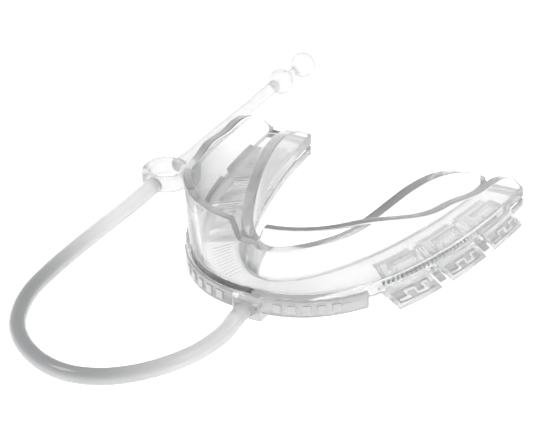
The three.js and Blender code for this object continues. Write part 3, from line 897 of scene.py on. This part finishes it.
# Painted shade: the bumper and the ends of the frame are painted grey, the socket a lighter grey.
BUMPER_SHADE = 0.9
SOCKET_SHADE = 0.35
PAD_BAND = 0.8 * MM
WEB_BOTTOM = 1.1 * MM
WEB_SETBACK = 1 * MM
WEB_END_GAP = 0.5 * MM
PADS_EACH_SIDE = 3
PAD_KEY_MARGIN = 2.3 * MM
PAD_KEY_END_GAP = 0.9 * MM
PAD_KEY_SETBACK = 3 * MM
FRAME_EDGE = 0.25 * MM
SOCKET_HALF_WIDTH = 3.05 * MM
SOCKET_DEPTH = 6.15 * MM
SOCKET_EDGE = 0.55 * MM
CAVITY_HALF_WIDTH = 2.45 * MM
CAVITY_HALF_HEIGHT = 0.85 * MM
CAVITY_DEPTH = 4.65 * MM
BARS_EACH_SIDE = 5
FIRST_BAR = 5.2 * MM
BAR_PITCH = 2.7 * MM
BAR_LENGTH = 1.5 * MM
BAR_HALF_HEIGHT = 0.85 * MM
BAR_PROUD = 0.3 * MM
BAR_ROOT = 0.2 * MM


def pad_centres(layout):
    """Distances of the pads' middles from the front, and their length."""
    pitch = (layout.arm - PAD_START - PAD_SLANT - PAD_REAR_MARGIN + PAD_GAP) / PADS_EACH_SIDE
    length = pitch - PAD_GAP
    return [PAD_START + length / 2 + k * pitch for k in range(PADS_EACH_SIDE)], length


def slant(height):
    """How far towards the end of its arm a pad is moved at that height."""
    return PAD_SLANT * (1 - height / PAD_BAND_TOP)


def key_rings(layout, side, centre, half, side_gap, bottom, top):
    """The upright key of a pad, or the window that it fits."""
    shift = slant(layout.pad_top)
    share = side * stations_between(centre + shift - half, centre + shift + half, 0.8 * MM, layout)
    outside = PAD_KEY_SETBACK - side_gap
    return rounded_rings([
        (layout.outer.point(share, outside, bottom), 0),
        (layout.outer.point(share, outside, top), 0),
        (layout.inner.point(share, -outside, top), 0),
        (layout.inner.point(share, -outside, bottom), 0),
    ])


def rounded_box(low, high, radius):
    bm = bmesh.new()
    bmesh.ops.create_cube(bm, size=1)
    bmesh.ops.scale(bm, verts=bm.verts, vec=high - low)
    bmesh.ops.translate(bm, verts=bm.verts, vec=middle(low, high))
    if radius:
        bmesh.ops.bevel(
            bm, geom=bm.edges[:], offset=radius, offset_type="OFFSET", affect="EDGES", segments=3,
            profile=0.5, material=-1)
    return bm


def web_rings(layout, side, web_middle):
    """The part of the frame that comes down between two pads."""
    half = PAD_GAP / 2 - WEB_END_GAP
    along = np.array([web_middle - half, web_middle + half])
    low, high = WEB_BOTTOM, (layout.frame_bottom + layout.frame_top) / 2

    def share(height):
        return side * (along + slant(height)) / layout.arm

    return rounded_rings([
        (layout.outer.point(share(low), -PAD_BAND, low), 0.15 * MM),
        (layout.outer.point(share(high), -PAD_BAND, high), 0.15 * MM),
        (layout.inner.point(share(high), -WEB_SETBACK, high), 0),
        (layout.inner.point(share(low), -WEB_SETBACK, low), 0.15 * MM),
    ])


def make_frame(sizes, layout):
    outer, inner = layout.outer, layout.inner
    bottom, top = layout.frame_bottom, layout.frame_top
    edge = FRAME_EDGE
    share = stations_between(-layout.arm, layout.arm, 0.6 * MM, layout)
    plate = loft(rounded_rings([
        (outer.point(share, 0, bottom), edge),
        (outer.point(share, 0, top), edge),
        (inner.point(share, sizes.inner_wall, top), edge),
        (inner.point(share, sizes.inner_wall, bottom), edge),
    ]))
    reach = PAD_START - BUMPER_END_GAP
    share = stations_between(-reach, reach, 0.5 * MM, layout)
    bumper = loft(rounded_rings([
        (outer.point(share, -BUMPER_OUTSIDE, bottom), edge),
        (outer.point(share, -BUMPER_OUTSIDE, BUMPER_TOP), edge),
        (outer.point(share, -sizes.fit_gap, BUMPER_TOP), edge / 2),
        (outer.point(share, -sizes.fit_gap, top - 0.2 * MM), 0),
        (outer.point(share, 1 * MM, top - 0.2 * MM), 0),
        (outer.point(share, 1 * MM, bottom + 0.2 * MM), 0),
    ]), end_bevel=0.2 * MM)
    socket_low = Vector((-SOCKET_HALF_WIDTH, FRAME_LOW.y, FRAME_LOW.z))
    front = rounded_box(
        socket_low, Vector((SOCKET_HALF_WIDTH, ARCH_FRONT - sizes.fit_gap, BUMPER_TOP)), SOCKET_EDGE)
    back = rounded_box(
        socket_low + Vector((0, 0.5 * MM, 0)),
        Vector((SOCKET_HALF_WIDTH, FRAME_LOW.y + SOCKET_DEPTH, top - 0.02 * MM)), 0.2 * MM)
    plug_middle = middle(PLUG_LOW, PLUG_HIGH).z
    cavity = rounded_box(
        Vector((-CAVITY_HALF_WIDTH, FRAME_LOW.y - 1 * MM, plug_middle - CAVITY_HALF_HEIGHT)),
        Vector((CAVITY_HALF_WIDTH, FRAME_LOW.y + CAVITY_DEPTH, plug_middle + CAVITY_HALF_HEIGHT)), 0)
    centres, length = pad_centres(layout)
    webs = bmesh.new()
    for side in (-1, 1):
        for before in centres[:-1]:
            web_middle = before + (length + PAD_GAP) / 2
            loft(web_rings(layout, side, web_middle), into=webs, end_bevel=0.1 * MM)
    windows = bmesh.new()
    for side in (-1, 1):
        for centre in centres:
            half = length / 2 - PAD_KEY_MARGIN + PAD_KEY_END_GAP
            loft(key_rings(layout, side, centre, half, sizes.fit_gap, 1 * MM, 9 * MM), into=windows)
    bm = combined(
        plate, ("UNION", bumper), ("UNION", front), ("UNION", back), ("UNION", webs),
        ("DIFFERENCE", cavity), ("DIFFERENCE", windows))
    # Painted shade on the bumper, the socket and the ends of the frame, through the shade attribute.
    layer = bm.verts.layers.float.get(SHADE) or bm.verts.layers.float.new(SHADE)
    for vert in bm.verts:
        in_socket = abs(vert.co.x) < SOCKET_HALF_WIDTH + 0.2 * MM
        at_end = vert.co.y > FRAME_HIGH.y - END_BAND
        bulging = outer.outside(vert.co) > BUMPER_OUTSIDE / 2
        vert[layer] = SOCKET_SHADE if in_socket and bulging else BUMPER_SHADE if bulging or at_end else 0
    return object_from(bm, "frame")


def make_bars(layout):
    """The row of plain raised bars on each side of the socket."""
    bars = bmesh.new()
    bar_middle = (layout.frame_bottom + BUMPER_TOP) / 2
    for side in (-1, 1):
        for k in range(BARS_EACH_SIDE):
            start = FIRST_BAR + k * BAR_PITCH
            share = side * stations_between(start, start + BAR_LENGTH, 0.4 * MM, layout)
            low, high = bar_middle - BAR_HALF_HEIGHT, bar_middle + BAR_HALF_HEIGHT
            rings = rounded_rings([
                (layout.outer.point(share, -BUMPER_OUTSIDE - BAR_PROUD, low), 0.12 * MM),
                (layout.outer.point(share, -BUMPER_OUTSIDE - BAR_PROUD, high), 0.12 * MM),
                (layout.outer.point(share, -BUMPER_OUTSIDE + BAR_ROOT, high), 0),
                (layout.outer.point(share, -BUMPER_OUTSIDE + BAR_ROOT, low), 0),
            ])
            loft(rings, into=bars, end_bevel=0.1 * MM)
    return object_from(bars, "frame_bars")


# ---- Bite pads ----


class MOUTHGUARD_OT_pads(bpy.types.Operator):
    """Makes the six bite pads with their zig-zag bars"""

    bl_idname = "mouthguard.pads"
    bl_label = "Bite pads"

    def execute(self, context):
        sizes = context.scene.guard_sizes
        layout = Layout(sizes)
        plastic = pad_material(context.scene.guard_finish)
        centres, length = pad_centres(layout)
        for side, side_name in ((-1, "left"), (1, "right")):
            for centre, place_name in zip(centres, ("front", "middle", "rear")):
                name = f"{side_name}_{place_name}"
                pad = make_pad(sizes, layout, side, centre, length, f"pad_{name}")
                place_piece(pad, "guard", "pads", plastic, f"bite_pad_{name}")
        return {"FINISHED"}


PAD_TOE = 1.2 * MM
TOE_HEIGHT = 0.9 * MM
FACE_TOP = 4.6 * MM
RECESS_DEPTH = 0.28 * MM
# Painted shade on the pads: the recess round the zig-zag bar and the toe are painted grey.
RECESS_SHADE = 0.85
TOE_SHADE = 0.7
RECESS_MARGIN = 1.2 * MM
RECESS_HEIGHT_MARGIN = 0.45 * MM
BAR_HALF_WIDTH = 0.36 * MM
ZIGZAG = [(-0.86, -0.55), (-0.38, -0.55), (-0.38, 0.5), (0.12, 0.5), (0.12, -0.55), (0.6, -0.55), (0.6, 0.5),
          (0.86, 0.5)]


def distance_to_line(u, v, points):
    """Distance of each (u, v) from a line of straight stretches."""
    best = np.full(np.broadcast(u, v).shape, 1.0)
    for (ax, ay), (bx, by) in zip(points, points[1:]):
        dx, dy = bx - ax, by - ay
        t = (((u - ax) * dx + (v - ay) * dy) / (dx * dx + dy * dy)).clip(0, 1)
        best = np.minimum(best, np.hypot(u - ax - t * dx, v - ay - t * dy))
    return best


def step_down(value, edge, soft):
    """1 well inside the edge, 0 outside, with a soft shoulder."""
    t = ((edge - value) / soft + 0.5).clip(0, 1)
    return t * t * (3 - 2 * t)


def pad_relief(u, v, half_u, half_v):
    """How deep the pad's face lies at u, v from the middle of its recess, and how shaded it looks there."""
    inside = step_down(np.abs(u), half_u, 0.2 * MM) * step_down(np.abs(v), half_v, 0.2 * MM)
    line = [(x * half_u, y * half_v) for x, y in ZIGZAG]
    bar = step_down(distance_to_line(u, v, line), BAR_HALF_WIDTH, 0.16 * MM)
    return RECESS_DEPTH * inside - (RECESS_DEPTH + 0.05 * MM) * bar, RECESS_SHADE * inside * (1 - bar)


def make_pad(sizes, layout, side, centre, length, name):
    outer, inner = layout.outer, layout.inner
    start, end = centre - length / 2, centre + length / 2
    along = np.linspace(start, end, 88)
    top = layout.pad_top

    def outer_point(inwards, height):
        return outer.point(side * (along + slant(height)) / layout.arm, inwards, height)

    def inner_point(inwards, height):
        return inner.point(side * (along + slant(height)) / layout.arm, inwards, height)

    half_u = length / 2 - RECESS_MARGIN
    face_middle = (TOE_HEIGHT + FACE_TOP) / 2
    half_v = (FACE_TOP - TOE_HEIGHT) / 2 - RECESS_HEIGHT_MARGIN
    heights = np.linspace(TOE_HEIGHT + 0.15 * MM, FACE_TOP - 0.1 * MM, 34)
    face = []
    for height in heights:
        mix = (height - TOE_HEIGHT) / (FACE_TOP - TOE_HEIGHT)
        bulge = PAD_TOE + (PAD_BAND - 0.1 * MM - PAD_TOE) * mix
        depth, shade = pad_relief(along - centre, height - face_middle, half_u, half_v)
        face.append((outer_point(depth - bulge, height), 0, shade))
    rings = rounded_rings([
        (inner_point(0, 0), 0.4 * MM),
        (outer_point(-PAD_TOE, 0), 0.4 * MM, TOE_SHADE),
        *face,
        (outer_point(-PAD_BAND - 0.05 * MM, FACE_TOP), 0),
        (outer_point(-PAD_BAND, PAD_BAND_TOP), 0.2 * MM),
        (outer_point(-sizes.fit_gap, PAD_BAND_TOP), 0.12 * MM),
        (outer_point(-sizes.fit_gap, top), 0),
        (inner_point(0, top), 0.3 * MM),
    ])
    body = loft(rings, end_bevel=0.2 * MM)
    half = length / 2 - PAD_KEY_MARGIN
    key = loft(key_rings(layout, side, centre, half, 0, top - 0.4 * MM, layout.frame_top - sizes.fit_gap))
    return object_from(combined(body, ("UNION", key)), name)


# ---- Panel and registration ----


class MOUTHGUARD_PT_panel(bpy.types.Panel):
    """Lists the steps that make the mouthguard"""

    bl_label = "Mouthguard"
    bl_idname = "MOUTHGUARD_PT_panel"
    bl_space_type = "VIEW_3D"
    bl_region_type = "UI"
    bl_category = "Mouthguard"

    def draw(self, context):
        for operator in STEPS:
            self.layout.operator(operator.bl_idname)
        for group in (context.scene.guard_sizes, context.scene.guard_finish):
            for name in group.bl_rna.properties.keys():
                if name not in ("rna_type", "name"):
                    self.layout.prop(group, name)


STEPS = (
    MOUTHGUARD_OT_stage,
    MOUTHGUARD_OT_strap,
    MOUTHGUARD_OT_tray,
    MOUTHGUARD_OT_frame,
    MOUTHGUARD_OT_pads,
)
CLASSES = (GuardSizes, GuardFinish, *STEPS, MOUTHGUARD_PT_panel)


def register():
    for cls in CLASSES:
        bpy.utils.register_class(cls)
    bpy.types.Scene.guard_sizes = bpy.props.PointerProperty(type=GuardSizes)
    bpy.types.Scene.guard_finish = bpy.props.PointerProperty(type=GuardFinish)


def unregister():
    del bpy.types.Scene.guard_finish
    del bpy.types.Scene.guard_sizes
    for cls in reversed(CLASSES):
        bpy.utils.unregister_class(cls)


def main():
    register()
    bpy.ops.mouthguard.stage()
    bpy.ops.mouthguard.strap()
    bpy.ops.mouthguard.tray()
    bpy.ops.mouthguard.frame()
    bpy.ops.mouthguard.pads()


if __name__ == "__main__":
    main()
